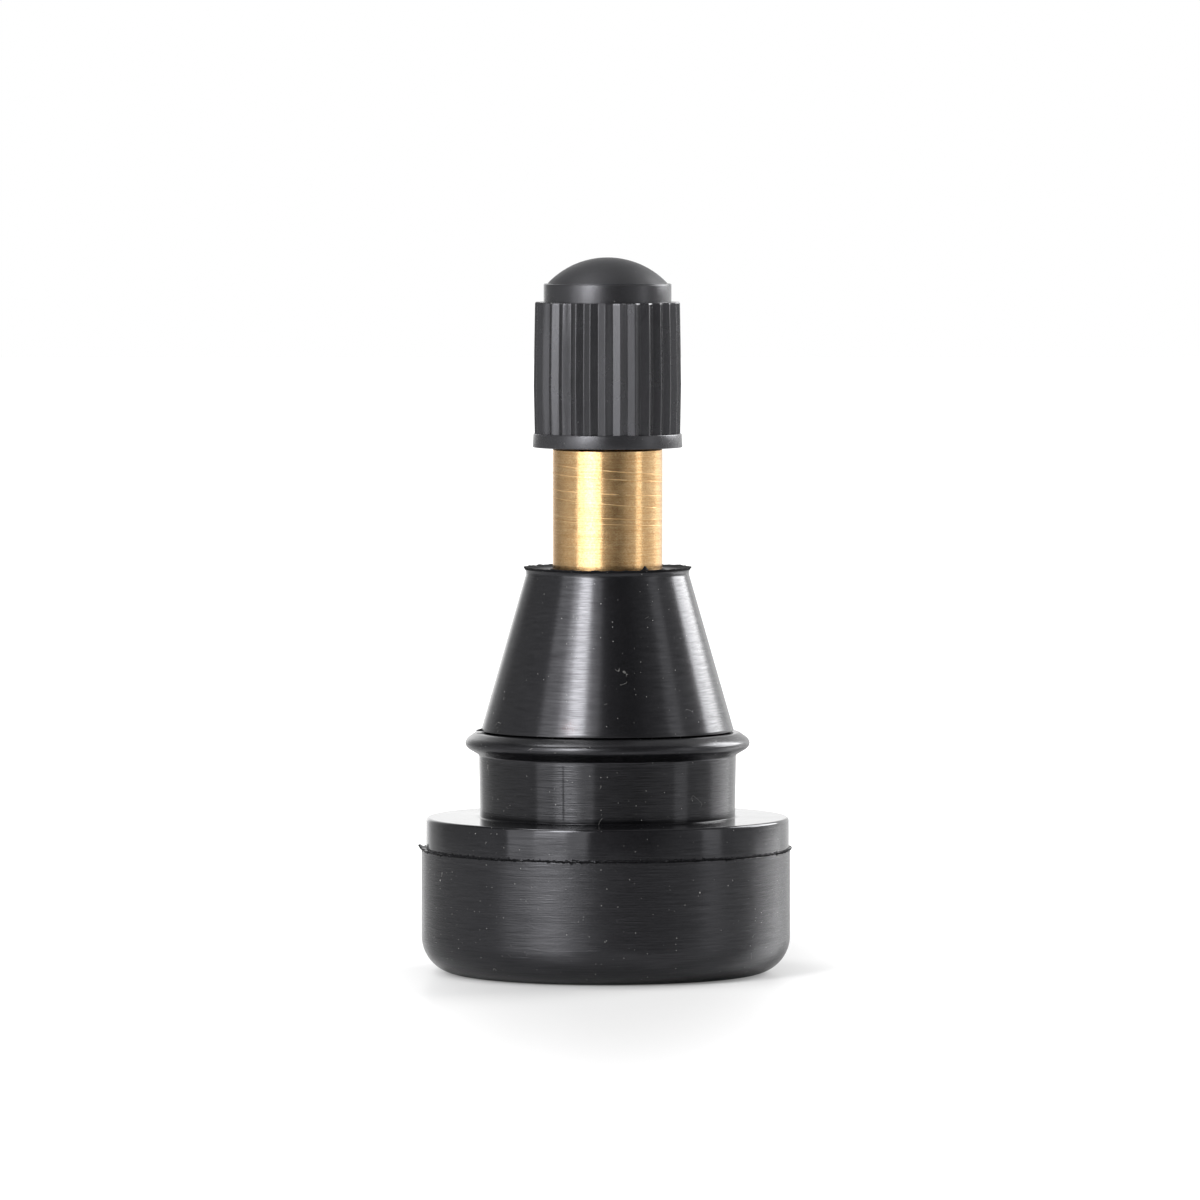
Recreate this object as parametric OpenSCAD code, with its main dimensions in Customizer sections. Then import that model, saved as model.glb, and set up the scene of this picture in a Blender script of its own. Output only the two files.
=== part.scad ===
// Snap-in tubeless tyre valve for a 15.7 mm rim hole, in millimetres.
// A rubber body is moulded on a brass stem, a spring-loaded core is screwed into the stem,
// and a ribbed dust cap closes its mouth. +Z runs up the stem, and the valve stands on its foot.

/* [Rubber base] */
// Largest diameter of the base, below the mould's parting line
base_d = 26; // [24:0.1:30]
// Height of the shoulder that bears against the rim
base_h = 11; // [9.6:0.1:14]
// Height of the mould's parting line above the foot
parting_h = 8.8; // [6:0.1:9.2]
// How much narrower the base is above the parting line, on the radius
parting_step = 0.2; // [0.1:0.05:0.4]
// How far the flash stands out at the parting line
flash_w = 0.35; // [0.1:0.05:0.5]
// Thickness of the flash at its root
flash_t = 0.3; // [0.15:0.05:0.5]
// Radius of the round edge at the foot
foot_round = 2.4; // [1:0.1:3]
// Radius of the round edge of the shoulder
shoulder_round = 0.25; // [0.1:0.05:0.5]
// Diameter of the dish under the base
dish_d = 15; // [12:0.1:17]
// Depth of the dish under the base
dish_h = 0.9; // [0.4:0.1:1.4]

/* [Rim groove] */
// Diameter of the neck that is squeezed into the rim hole
neck_d = 18; // [16.4:0.1:19.4]
// Width of the groove between the shoulder and the bead
groove_w = 4.25; // [4:0.05:7]
// Radius of the fillet between the shoulder and the neck
neck_fillet = 0.4; // [0.2:0.05:0.6]
// Diameter over the bead that snaps through the rim hole
bead_d = 20.2; // [19.4:0.1:22]
// Thickness of the bead at the neck
bead_t = 1.6; // [1.2:0.1:2]
// Radius of the bead's rounded edge
bead_round = 0.5; // [0.3:0.02:0.56]

/* [Rubber cone] */
// Diameter of the cone at its foot
cone_d = 17.7; // [15.6:0.1:18.4]
// Diameter of the cone under its lip
cone_top_d = 11.3; // [10:0.1:12.4]
// Height of the cone
cone_h = 11.2; // [8:0.1:16]
// Height of the undercut between the bead and the cone
undercut_h = 0.25; // [0.2:0.05:0.6]
// Depth of the undercut, on the radius
undercut_w = 0.4; // [0.2:0.05:0.8]
// Diameter of the thin lip round the top of the cone
lip_d = 11.8; // [11:0.1:13]
// Height over which the cone flares out to its lip
lip_flare = 0.2; // [0.1:0.05:0.5]
// Thickness of the lip's edge
lip_t = 0.15; // [0.1:0.05:0.4]

/* [Stem] */
// Outside diameter of the stem, over its cap thread
stem_d = 7.75; // [7.4:0.05:8.4]
// Length of bare stem between the rubber and the cap
stem_show = 8.45; // [4:0.05:14]
// Chamfer round the outside of the stem's mouth
mouth_chamfer = 0.45; // [0.2:0.05:0.6]
// Diameter of the core chamber in the stem
chamber_d = 5.3; // [5:0.05:5.6]
// Chamfer inside the mouth and at the lower end of the bore
bore_chamfer = 0.25; // [0.1:0.05:0.4]
// Diameter of the air bore below the core
bore_d = 4.1; // [3.8:0.05:4.3]
// Diameter of the top of the taper that the core's gasket seals on
taper_d = 4.9; // [4.6:0.05:4.95]
// Height of the taper
taper_h = 3; // [2.8:0.1:4]
// Diameter of the collar that anchors the stem in the rubber
anchor_d = 10.8; // [9:0.1:12]
// Height of the collar's rim
anchor_t = 1.2; // [0.6:0.1:2]
// Height of the collar above the lower end of the stem
anchor_rise = 1.6; // [1:0.1:3]

/* [Cap] */
// Diameter of the cap's flange
flange_d = 10.56; // [10.4:0.02:12]
// Height of the flange
flange_h = 0.9; // [0.5:0.05:1.5]
// Diameter over the ribs where they are fullest
rib_d = 10.4; // [10.2:0.02:11.4]
// How far the ribs draw in towards the crown, on the radius
rib_draft = 0.1; // [0:0.01:0.2]
// How far the ribs draw in towards the flange, on the radius
rib_tuck = 0.06; // [0:0.01:0.15]
// Height of the fullest point of the ribs above the flange
rib_belly = 3.4; // [1:0.1:7]
// Length of the ribs
rib_h = 9.3; // [8:0.1:12]
// Number of ribs
rib_count = 30; // [20:1:36]
// Width of the ribs at their tips
rib_tip = 0.1; // [0.04:0.02:0.3]
// Depth of the V-shaped grooves between the ribs
groove_depth = 0.22; // [0.1:0.02:0.4]
// Width of the grooves at their floor
groove_floor = 0.08; // [0.04:0.02:0.2]
// Angle of the first groove's middle from +X
groove_start = -86; // [-90:1:90]
// Diameter of the plain band above the ribs
band_d = 9.02; // [8.9:0.02:9.6]
// Height of the plain band
band_h = 1.2; // [0.8:0.05:2]
// Diameter of the crown at its foot
crown_d = 8.26; // [7:0.02:8.8]
// Height of the crown
crown_h = 1.86; // [1:0.02:3]
// Thickness of the crown's wall
crown_wall = 1.3; // [0.8:0.05:1.8]
// How far the cap's ceiling lies below the foot of the crown
ceiling_drop = 0.4; // [0.2:0.05:0.8]
// Chamfer at the cap's mouth
cap_chamfer = 0.3; // [0.1:0.05:0.5]
// Clearance between the cap's bore and the stem, on the radius
cap_gap = 0.1; // [0.05:0.01:0.15]

/* [Cap seal] */
// Diameter of the sealing disc
seal_d = 7.2; // [6.8:0.05:7.4]
// Thickness of the sealing disc
seal_t = 0.9; // [0.6:0.05:1.2]
// Clearance round the sealing disc in its pocket
seal_gap = 0.05; // [0.02:0.01:0.1]

/* [Core plug] */
// Diameter of the plug over its thread
plug_d = 5.2; // [4.9:0.02:5.25]
// Length of the plug's thread
plug_h = 3.3; // [2.5:0.1:4.5]
// Height of the bridge that the core key turns
bridge_h = 2.4; // [2:0.1:3.2]
// Diameter of the bridge
bridge_d = 4.6; // [4:0.05:4.8]
// Thickness of the bridge between its flats
bridge_t = 2.2; // [1.8:0.05:2.8]
// Height of the bridge's roof over its window
bridge_roof = 0.8; // [0.5:0.05:1.2]
// Width of the air window in the bridge
window_w = 1.9; // [1.5:0.05:2.2]
// Diameter of the air chamber in the plug
plug_bore_d = 2.6; // [2.3:0.05:3]
// Diameter of the sleeve that is crimped round the barrel
sleeve_d = 4.3; // [4.1:0.05:4.5]
// Thickness of the sleeve's roof over the barrel's flange
sleeve_roof = 0.2; // [0.1:0.05:0.5]
// Height of the sleeve's crimped lip
crimp_h = 0.4; // [0.2:0.05:0.6]
// Axial play of the barrel in the sleeve
swivel_play = 0.3; // [0.1:0.05:0.4]
// Clearance round the barrel in the sleeve, on the radius
swivel_gap = 0.1; // [0.05:0.01:0.12]

/* [Core barrel] */
// Diameter of the barrel's flange
barrel_flange_d = 3.4; // [3.2:0.05:3.5]
// Height of the barrel's flange
barrel_flange_h = 0.8; // [0.5:0.05:1.2]
// Outside diameter of the barrel
barrel_d = 3; // [2.9:0.02:3.08]
// Inside diameter of the barrel, round the spring
barrel_bore_d = 2.5; // [2.4:0.02:2.6]
// Diameter of the shoulder above the gasket
shoulder_d = 3.9; // [3.5:0.05:4.2]
// Height of the shoulder above the gasket and of the rolled lip below it
shoulder_h = 0.3; // [0.2:0.05:0.5]
// Gap between the plug's sleeve and the shoulder
shoulder_gap = 0.3; // [0.1:0.05:0.6]
// Diameter of the rolled lip below the gasket
rolled_d = 3.5; // [3.3:0.05:3.7]
// Length of the gasket on the barrel
gasket_h = 2.3; // [1.8:0.1:2.5]
// Clearance of the gasket on the barrel and in the taper, on the radius
gasket_gap = 0.02; // [0.01:0.01:0.04]
// Length of the barrel's nose below the rolled lip
nose_h = 1.4; // [1:0.1:2]
// Width of the ring at the end of the nose that presses into the cup's seal
nose_rim = 0.35; // [0.2:0.05:0.5]
// Height of the barrel's floor under the spring
barrel_floor = 1.6; // [1.2:0.1:1.8]

/* [Core pin] */
// Diameter of the pin
pin_d = 1; // [0.8:0.02:1.1]
// Depth of the pin's top below the stem's mouth
pin_recess = 0.3; // [0:0.05:0.6]
// Diameter of the pin's head
head_d = 1.6; // [1.3:0.05:1.8]
// Height of the pin's head
head_h = 0.6; // [0.4:0.05:1]
// Travel of the pin when it is pressed
stroke = 1.5; // [1:0.1:1.8]
// Room left between the pressed head and the plug
stroke_spare = 0.2; // [0.1:0.05:0.5]
// Clearance of the pin in the plug's bridge, on the radius
guide_gap = 0.15; // [0.1:0.01:0.2]
// Air gap round the pin in the barrel's floor
floor_gap = 0.3; // [0.2:0.02:0.34]
// Diameter of the collar that the spring pushes up
collar_d = 2.2; // [2.1:0.02:2.3]
// Height of the collar
collar_h = 0.4; // [0.25:0.05:0.6]
// Depth of the collar's top below the barrel's top
collar_drop = 0.3; // [0:0.05:0.6]
// Diameter of the riveted end below the cup
rivet_d = 1.6; // [1.3:0.05:2]
// Height of the riveted end
rivet_h = 0.4; // [0.25:0.05:0.6]

/* [Core spring and cup] */
// Diameter of the spring's wire
wire_d = 0.3; // [0.2:0.01:0.32]
// Diameter of the spring at the middle of its wire
coil_d = 1.9; // [1.85:0.01:1.92]
// Number of turns in the spring
coil_turns = 6; // [4:0.5:7]
// Gap left at each end of the spring
coil_gap = 0.02; // [0.01:0.01:0.05]
// Diameter of the seal in the cup
cup_seal_d = 2.9; // [2.6:0.05:3]
// Thickness of the seal in the cup
cup_seal_t = 0.8; // [0.6:0.05:1]
// How far the seal stands out of the cup
cup_seal_proud = 0.25; // [0.1:0.05:0.4]
// Thickness of the cup's wall
cup_wall = 0.28; // [0.2:0.02:0.4]
// Thickness of the cup's floor
cup_floor = 0.45; // [0.3:0.05:0.7]
// Clearance of the seal in the cup and of the pin in both, on the radius
cup_gap = 0.02; // [0.01:0.01:0.04]

/* [Hidden] */
$fn = 96;

// Heights of the rubber body, from the foot up
bead_z = base_h + groove_w;
bead_mid = bead_z + bead_t / 2;
bead_top = bead_z + bead_t;
cone_z = bead_top + undercut_h;
flare_z = cone_z + cone_h;
lip_z = flare_z + lip_flare;
body_top = lip_z + lip_t;

// Heights of the cap, from its mouth up, and of the stem's mouth under its seal
cap_z = body_top + stem_show;
rib_z = cap_z + flange_h;
belly_z = rib_z + rib_belly;
band_z = rib_z + rib_h;
crown_z = band_z + band_h;
ceiling_z = crown_z - ceiling_drop;
stem_top = ceiling_z - seal_t;

// Heights of the core, from the stem's mouth down
pin_top = stem_top - pin_recess;
bridge_top = pin_top - head_h - stroke - stroke_spare;
window_top = bridge_top - bridge_roof;
plug_top = bridge_top - bridge_h;
sleeve_top = plug_top - plug_h;
barrel_top = sleeve_top - sleeve_roof;
crimp_top = barrel_top - barrel_flange_h - swivel_play;
sleeve_end = crimp_top - crimp_h;
shoulder_top = sleeve_end - shoulder_gap;
gasket_top = shoulder_top - shoulder_h;
gasket_end = gasket_top - gasket_h;
rolled_end = gasket_end - shoulder_h;
barrel_end = rolled_end - nose_h;
spring_seat = barrel_end + barrel_floor;
collar_top = barrel_top - collar_drop;
collar_end = collar_top - collar_h;
cup_top = barrel_end - cup_seal_proud;
cup_seal_end = barrel_end - cup_seal_t;
cup_end = cup_seal_end - cup_floor;
rivet_end = cup_end - rivet_h;

// Heights of the stem's bore and of the collar that anchors it
stem_end = dish_h;
taper_top = sleeve_end;
taper_end = taper_top - taper_h;
anchor_z = stem_end + anchor_rise;

// Radii that several pieces share
base_r = base_d / 2;
upper_r = base_r - parting_step;
neck_r = neck_d / 2;
bead_r = bead_d / 2;
rib_r = rib_d / 2;
stem_r = stem_d / 2;
chamber_r = chamber_d / 2;
bore_r = bore_d / 2;
taper_r = taper_d / 2;
anchor_r = anchor_d / 2;
cap_bore_r = stem_r + cap_gap;
pocket_r = seal_d / 2 + seal_gap;
barrel_r = barrel_d / 2;
pin_r = pin_d / 2;
guide_r = pin_r + guide_gap;
floor_r = pin_r + floor_gap;
cup_seal_r = cup_seal_d / 2;
cup_bore_r = cup_seal_r + cup_gap;
cup_pin_r = pin_r + cup_gap;
crown_ball_r = (pow(crown_d / 2, 2) + pow(crown_h, 2)) / (2 * crown_h);
crown_ball_z = crown_z + crown_h - crown_ball_r;

// Where the straight flanks of the bead touch the round of its edge
edge_r = bead_r - bead_round;
edge_reach = norm([edge_r - neck_r, bead_t / 2]);
flank_l = sqrt(pow(edge_reach, 2) - pow(bead_round, 2));
flank_a = atan2(bead_t / 2, edge_r - neck_r) - asin(bead_round / edge_reach);
touch_r = neck_r + flank_l * cos(flank_a);
touch_h = bead_t / 2 - flank_l * sin(flank_a);

// Room by which a cut runs past the solid that it cuts
past = 1;

// Spandrel between two square edges and the arc that rounds them, with its corner at the origin
module spandrel(r) {
    difference() {
        square(r);
        translate([r, r]) circle(r);
    }
}

// Half section of the base, with the flash that the two mould halves leave between them
module base_section() {
    difference() {
        square([base_r, parting_h]);
        translate([base_r, 0]) mirror([1, 0]) spandrel(foot_round);
        polygon([[0, -past], [dish_d / 2 + past, -past], [dish_d / 2 - dish_h, dish_h], [0, dish_h]]);
    }
    translate([0, parting_h]) difference() {
        square([upper_r, base_h - parting_h]);
        translate([upper_r, base_h - parting_h]) rotate(180) spandrel(shoulder_round);
    }
    translate([base_r, parting_h])
        polygon([[-flash_t, -flash_t], [0, -flash_t], [flash_w, 0], [-flash_t, 0]]);
}

// Half section of the neck between the shoulder and the bead, and of the bead itself
module groove_section() {
    translate([0, base_h]) square([neck_r, groove_w]);
    translate([neck_r, base_h]) spandrel(neck_fillet);
    translate([0, bead_mid]) polygon([
        [0, -bead_t / 2],
        [neck_r, -bead_t / 2],
        [touch_r, -touch_h],
        [touch_r, touch_h],
        [neck_r, bead_t / 2],
        [0, bead_t / 2]
    ]);
    translate([edge_r, bead_mid]) circle(bead_round);
}

// Half section of the cone, undercut above the bead and flared to a thin lip at the top
module cone_section() {
    polygon([
        [0, bead_top],
        [cone_d / 2 - undercut_w, bead_top],
        [cone_d / 2, cone_z],
        [cone_top_d / 2, flare_z],
        [lip_d / 2, lip_z],
        [lip_d / 2, body_top],
        [0, body_top]
    ]);
}

// Half section of the stem as a solid, which is also the hollow that it leaves in the rubber
module stem_section() {
    polygon([
        [0, stem_end],
        [stem_r, stem_end],
        [stem_r, anchor_z],
        [anchor_r, anchor_z],
        [anchor_r, anchor_z + anchor_t],
        [stem_r, anchor_z + anchor_t + anchor_r - stem_r],
        [stem_r, stem_top - mouth_chamfer],
        [stem_r - mouth_chamfer, stem_top],
        [0, stem_top]
    ]);
}

// Half section of the stem's bore: core chamber, taper and air bore
module bore_section() {
    polygon([
        [0, stem_end],
        [bore_r + bore_chamfer, stem_end],
        [bore_r, stem_end + bore_chamfer],
        [bore_r, taper_end],
        [taper_r, taper_top],
        [chamber_r, taper_top],
        [chamber_r, stem_top - bore_chamfer],
        [chamber_r + bore_chamfer, stem_top],
        [0, stem_top]
    ]);
}

// Radius of the taper at a height
function taper_at(z) = bore_r + (taper_r - bore_r) * (z - taper_end) / taper_h;

// Rubber body, moulded in one piece round the stem
module rubber_body() {
    color("#2c2c2e") rotate_extrude() difference() {
        union() {
            base_section();
            groove_section();
            cone_section();
        }
        stem_section();
    }
}

// Brass stem, turned from bar, with the core chamber in its upper end
module stem() {
    color("#c9a45c") rotate_extrude() difference() {
        stem_section();
        bore_section();
    }
}

// Half section of the plug of the core, with the sleeve that holds the barrel
module plug_section() {
    sleeve_bore_r = barrel_flange_d / 2 + swivel_gap;
    difference() {
        polygon([
            [0, sleeve_end],
            [sleeve_d / 2, sleeve_end],
            [sleeve_d / 2, sleeve_top],
            [plug_d / 2, sleeve_top],
            [plug_d / 2, plug_top],
            [bridge_d / 2, plug_top],
            [bridge_d / 2, bridge_top],
            [0, bridge_top]
        ]);
        polygon([
            [0, sleeve_end],
            [barrel_r + swivel_gap, sleeve_end],
            [barrel_r + swivel_gap, crimp_top],
            [sleeve_bore_r, crimp_top],
            [sleeve_bore_r, barrel_top],
            [plug_bore_d / 2, barrel_top],
            [plug_bore_d / 2, plug_top],
            [window_w / 2, plug_top],
            [window_w / 2, window_top],
            [guide_r, window_top],
            [guide_r, bridge_top],
            [0, bridge_top]
        ]);
    }
}

// Plug of the core, with two flats and an air window in its bridge
module core_plug() {
    flat_w = plug_d;
    color("#b8924e") difference() {
        rotate_extrude() plug_section();
        for (side = [-1, 1])
            translate([side * (bridge_t + flat_w) / 2, 0, plug_top + bridge_h])
                cube([flat_w, plug_d, 2 * bridge_h], center = true);
        translate([-plug_d / 2, -window_w / 2, plug_top])
            cube([plug_d, window_w, window_top - plug_top]);
    }
}

// Barrel of the core, which swivels in the plug and carries the gasket
module core_barrel() {
    color("#c2a05e") rotate_extrude() difference() {
        polygon([
            [0, barrel_end],
            [floor_r + nose_rim, barrel_end],
            [barrel_r, barrel_end + barrel_r - floor_r - nose_rim],
            [barrel_r, rolled_end],
            [rolled_d / 2, rolled_end],
            [rolled_d / 2, gasket_end],
            [barrel_r, gasket_end],
            [barrel_r, gasket_top],
            [shoulder_d / 2, gasket_top],
            [shoulder_d / 2, shoulder_top],
            [barrel_r, shoulder_top],
            [barrel_r, barrel_top - barrel_flange_h],
            [barrel_flange_d / 2, barrel_top - barrel_flange_h],
            [barrel_flange_d / 2, barrel_top],
            [0, barrel_top]
        ]);
        polygon([
            [0, barrel_end],
            [floor_r, barrel_end],
            [floor_r, spring_seat],
            [barrel_bore_d / 2, spring_seat],
            [barrel_bore_d / 2, barrel_top],
            [0, barrel_top]
        ]);
    }
}

// Conical gasket on the barrel
module barrel_gasket() {
    color("#b23a2e") rotate_extrude() polygon([
        [barrel_r + gasket_gap, gasket_end],
        [taper_at(gasket_end) - gasket_gap, gasket_end],
        [taper_at(gasket_top) - gasket_gap, gasket_top],
        [barrel_r + gasket_gap, gasket_top]
    ]);
}

// Rise of the spring's wire after a number of turns: its end turns lie close
end_pitch = wire_d + coil_gap;
spring_rise = collar_end - spring_seat - wire_d - 2 * coil_gap;
free_pitch = (spring_rise - 2 * end_pitch) / (coil_turns - 2);
function coil_rise(t) =
    t < 1 ? t * end_pitch :
    t < coil_turns - 1 ? end_pitch + (t - 1) * free_pitch :
    spring_rise - (coil_turns - t) * end_pitch;

// Coil spring: round wire swept along its helix, ring by ring
module core_spring() {
    sides = 8;
    ring_steps = 16;
    rings = ceil(coil_turns * ring_steps);
    points = [
        for (i = [0 : rings], k = [0 : sides - 1])
            let (
                t = coil_turns * i / rings,
                reach = (coil_d + wire_d * cos(360 * k / sides)) / 2,
                z = coil_rise(t) + wire_d / 2 * sin(360 * k / sides)
            )
            [reach * cos(360 * t), reach * sin(360 * t), z]
    ];
    skin = [
        for (i = [0 : rings - 1], k = [0 : sides - 1], half = [0, 1])
            let (
                a = i * sides + k,
                b = i * sides + (k + 1) % sides
            )
            half == 0 ? [a, b, b + sides] : [a, b + sides, a + sides]
    ];
    ends = [
        [for (k = [0 : sides - 1]) sides - 1 - k],
        [for (k = [0 : sides - 1]) rings * sides + k]
    ];
    color("#9a9ca0") translate([0, 0, spring_seat + coil_gap + wire_d / 2])
        polyhedron(points = points, faces = concat(skin, ends), convexity = 10);
}

// Pin of the core, with its head, the collar for the spring and its riveted end
module core_pin() {
    color("#cfb06a") rotate_extrude() polygon([
        [0, rivet_end],
        [rivet_d / 2, rivet_end],
        [rivet_d / 2, cup_end],
        [pin_r, cup_end],
        [pin_r, collar_end],
        [collar_d / 2, collar_end],
        [collar_d / 2, collar_top],
        [pin_r, collar_top],
        [pin_r, pin_top - head_h],
        [head_d / 2, pin_top - head_h],
        [head_d / 2, pin_top],
        [0, pin_top]
    ]);
}

// Rubber ring in the cup, pressed against the end of the barrel by the spring
module cup_seal() {
    color("#35302e") rotate_extrude() translate([cup_pin_r, cup_seal_end])
        square([cup_seal_r - cup_pin_r, cup_seal_t]);
}

// Cup that carries the seal on the pin
module core_cup() {
    color("#b99a58") rotate_extrude() difference() {
        translate([cup_pin_r, cup_end])
            square([cup_bore_r + cup_wall - cup_pin_r, cup_top - cup_end]);
        translate([0, cup_seal_end]) square([cup_bore_r, cup_seal_t]);
    }
}

// Sealing disc in the cap
module cap_seal() {
    color("#3a3634") translate([0, 0, stem_top]) cylinder(d = seal_d, h = seal_t);
}

// Half section of the cap's flange, band and crown
module cap_section() {
    translate([0, cap_z]) square([flange_d / 2, flange_h]);
    translate([0, band_z]) square([band_d / 2, band_h]);
    intersection() {
        translate([0, crown_ball_z]) circle(crown_ball_r);
        translate([0, crown_z]) square([crown_d, crown_h + past]);
    }
}

// Half section of the ring that the ribs are cut from, fullest at its belly
module rib_section() {
    polygon([
        [0, rib_z],
        [rib_r - rib_tuck, rib_z],
        [rib_r, belly_z],
        [rib_r - rib_draft, band_z],
        [0, band_z]
    ]);
}

// Half section of the cap's hollow, with the pocket for the sealing disc
module hollow_section() {
    polygon([
        [0, cap_z - past],
        [cap_bore_r + cap_chamfer + past, cap_z - past],
        [cap_bore_r, cap_z + cap_chamfer],
        [cap_bore_r, stem_top + seal_gap],
        [pocket_r, stem_top + seal_gap],
        [pocket_r, ceiling_z],
        [0, ceiling_z]
    ]);
    intersection() {
        translate([0, crown_ball_z]) circle(crown_ball_r - crown_wall);
        translate([0, ceiling_z - past]) square([pocket_r, crown_h + 2 * past]);
    }
}

// One V-shaped groove, which leans about the belly as the ribs on that side of it do
module rib_groove(lean) {
    edge_a = 180 / rib_count - asin(rib_tip / rib_d);
    floor_x = rib_r - groove_depth;
    edge_x = rib_r * cos(edge_a);
    edge_w = 2 * rib_r * sin(edge_a);
    outer_w = edge_w + past * (edge_w - groove_floor) / (edge_x - floor_x);
    translate([rib_r, 0, belly_z]) rotate([0, lean, 0]) translate([-rib_r, 0, -rib_h])
        linear_extrude(2 * rib_h) polygon([
            [floor_x, -groove_floor / 2],
            [edge_x + past, -outer_w / 2],
            [edge_x + past, outer_w / 2],
            [floor_x, groove_floor / 2]
        ]);
}

// Plastic dust cap, moulded in one piece, with V-shaped grooves between its ribs
module cap() {
    draft_a = atan(rib_draft / (rib_h - rib_belly));
    tuck_a = atan(rib_tuck / rib_belly);
    color("#343437") difference() {
        union() {
            rotate_extrude() cap_section();
            difference() {
                rotate_extrude() rib_section();
                for (i = [0 : rib_count - 1])
                    rotate(groove_start + i * 360 / rib_count) {
                        rib_groove(-draft_a);
                        rib_groove(tuck_a);
                    }
            }
        }
        rotate_extrude() hollow_section();
    }
}

rubber_body();
stem();
core_plug();
core_barrel();
barrel_gasket();
core_spring();
core_pin();
cup_seal();
core_cup();
cap_seal();
cap();
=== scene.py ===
import math

import bmesh
import bpy
from mathutils import Matrix, Vector, noise


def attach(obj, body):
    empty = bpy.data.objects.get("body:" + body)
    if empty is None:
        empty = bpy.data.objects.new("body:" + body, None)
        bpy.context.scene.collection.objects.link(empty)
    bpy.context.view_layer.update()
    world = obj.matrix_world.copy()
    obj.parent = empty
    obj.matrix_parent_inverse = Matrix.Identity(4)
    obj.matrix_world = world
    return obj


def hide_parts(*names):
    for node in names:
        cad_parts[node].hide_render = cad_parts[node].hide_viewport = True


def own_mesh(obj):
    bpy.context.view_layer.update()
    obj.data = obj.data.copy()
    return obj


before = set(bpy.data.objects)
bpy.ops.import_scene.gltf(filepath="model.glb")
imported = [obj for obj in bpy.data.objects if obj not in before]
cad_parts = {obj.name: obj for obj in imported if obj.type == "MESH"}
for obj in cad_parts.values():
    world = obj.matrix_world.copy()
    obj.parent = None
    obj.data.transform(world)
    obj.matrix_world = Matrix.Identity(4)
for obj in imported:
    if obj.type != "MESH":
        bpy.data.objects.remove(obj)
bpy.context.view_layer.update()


# Stem
# A tube turned from free-cutting brass bar, held in the rubber by the collar near its foot.
# The cap thread is cut on its upper end and the finer core thread in its mouth.
mm = 0.001  # Meshes are drawn in millimetres, and materials measure in metres.


def linear(code):
    """Linear colour of an sRGB hex code."""
    parts = [int(code[i : i + 2], 16) / 255 for i in (1, 3, 5)]
    return [c / 12.92 if c <= 0.04045 else ((c + 0.055) / 1.055) ** 2.4 for c in parts] + [1]


def feed(tree, socket, value):
    """Gives a socket a link or a value."""
    if isinstance(value, bpy.types.NodeSocket):
        tree.links.new(value, socket)
    else:
        socket.default_value = value


def add(tree, kind, settings=None, **sockets):
    """A node with its settings. A socket is named in_ and its place."""
    node = tree.nodes.new(kind)
    for key, value in (settings or {}).items():
        setattr(node, key, value)
    for key, value in sockets.items():
        feed(tree, node.inputs[int(key[3:])], value)
    return node.outputs


def calc(tree, operation, *values):
    """The result of a calculation on up to three values."""
    sockets = {f"in_{i}": value for i, value in enumerate(values)}
    return add(tree, "ShaderNodeMath", {"operation": operation}, **sockets)[0]


def graded(tree, value, low=0.0, high=1.0, start=0.0, end=1.0, ease="LINEAR"):
    """Runs from start to end while the value runs from low to high, and is held beyond them."""
    settings = {"interpolation_type": ease}
    return add(tree, "ShaderNodeMapRange", settings, in_0=value, in_1=low, in_2=high, in_3=start, in_4=end)[0]


def clouds(tree, place, scale, detail=2.0, roughness=0.5):
    """Noise about the middle of 0 to 1."""
    return add(tree, "ShaderNodeTexNoise", in_0=place, in_2=scale, in_3=detail, in_4=roughness)[0]


def blended(tree, share, first, second):
    """A colour between two others, each a hex code or a link."""
    first, second = (linear(c) if isinstance(c, str) else c for c in (first, second))
    return add(tree, "ShaderNodeMix", {"data_type": "RGBA"}, in_0=share, in_6=first, in_7=second)[2]


def bearing(tree, xyz):
    """The angle round the axis, from the front and positive to the right."""
    return calc(tree, "ARCTAN2", xyz["X"], calc(tree, "MULTIPLY", xyz["Y"], -1.0))


def finish_of(name):
    """A new material, its node tree, its shader and the piece's own coordinates."""
    material = bpy.data.materials.new(name)
    material.use_nodes = True
    tree = material.node_tree
    place = add(tree, "ShaderNodeTexCoord")["Object"]
    return material, tree, tree.nodes["Principled BSDF"], place


def coat(tree, shader, inputs):
    """Gives a shader its inputs by name."""
    for name, value in inputs.items():
        feed(tree, shader.inputs[name], value)


def turned(outline, rounds=(), steps=128, ring=True):
    """A half section with some of its corners rounded, by number, radius and steps, spun round the axis."""
    shape = bmesh.new()
    corners = [shape.verts.new((r, 0, z)) for r, z in outline]
    for start, end in zip(corners, corners[1:]):
        shape.edges.new((start, end))
    if ring:
        shape.edges.new((corners[-1], corners[0]))
    for i, radius, segments in rounds:
        bmesh.ops.bevel(shape, geom=[corners[i]], offset=radius, segments=segments, profile=0.5,
                        affect="VERTICES", material=-1)
    bmesh.ops.spin(shape, geom=shape.verts[:] + shape.edges[:], cent=(0, 0, 0), axis=(0, 0, 1),
                   angle=2 * math.pi, steps=steps, use_merge=True)
    return shape


def joined(shape, more):
    """Adds another shape to the first one."""
    mesh = bpy.data.meshes.new("joined")
    more.to_mesh(mesh)
    more.free()
    shape.from_mesh(mesh)
    bpy.data.meshes.remove(mesh)


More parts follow.
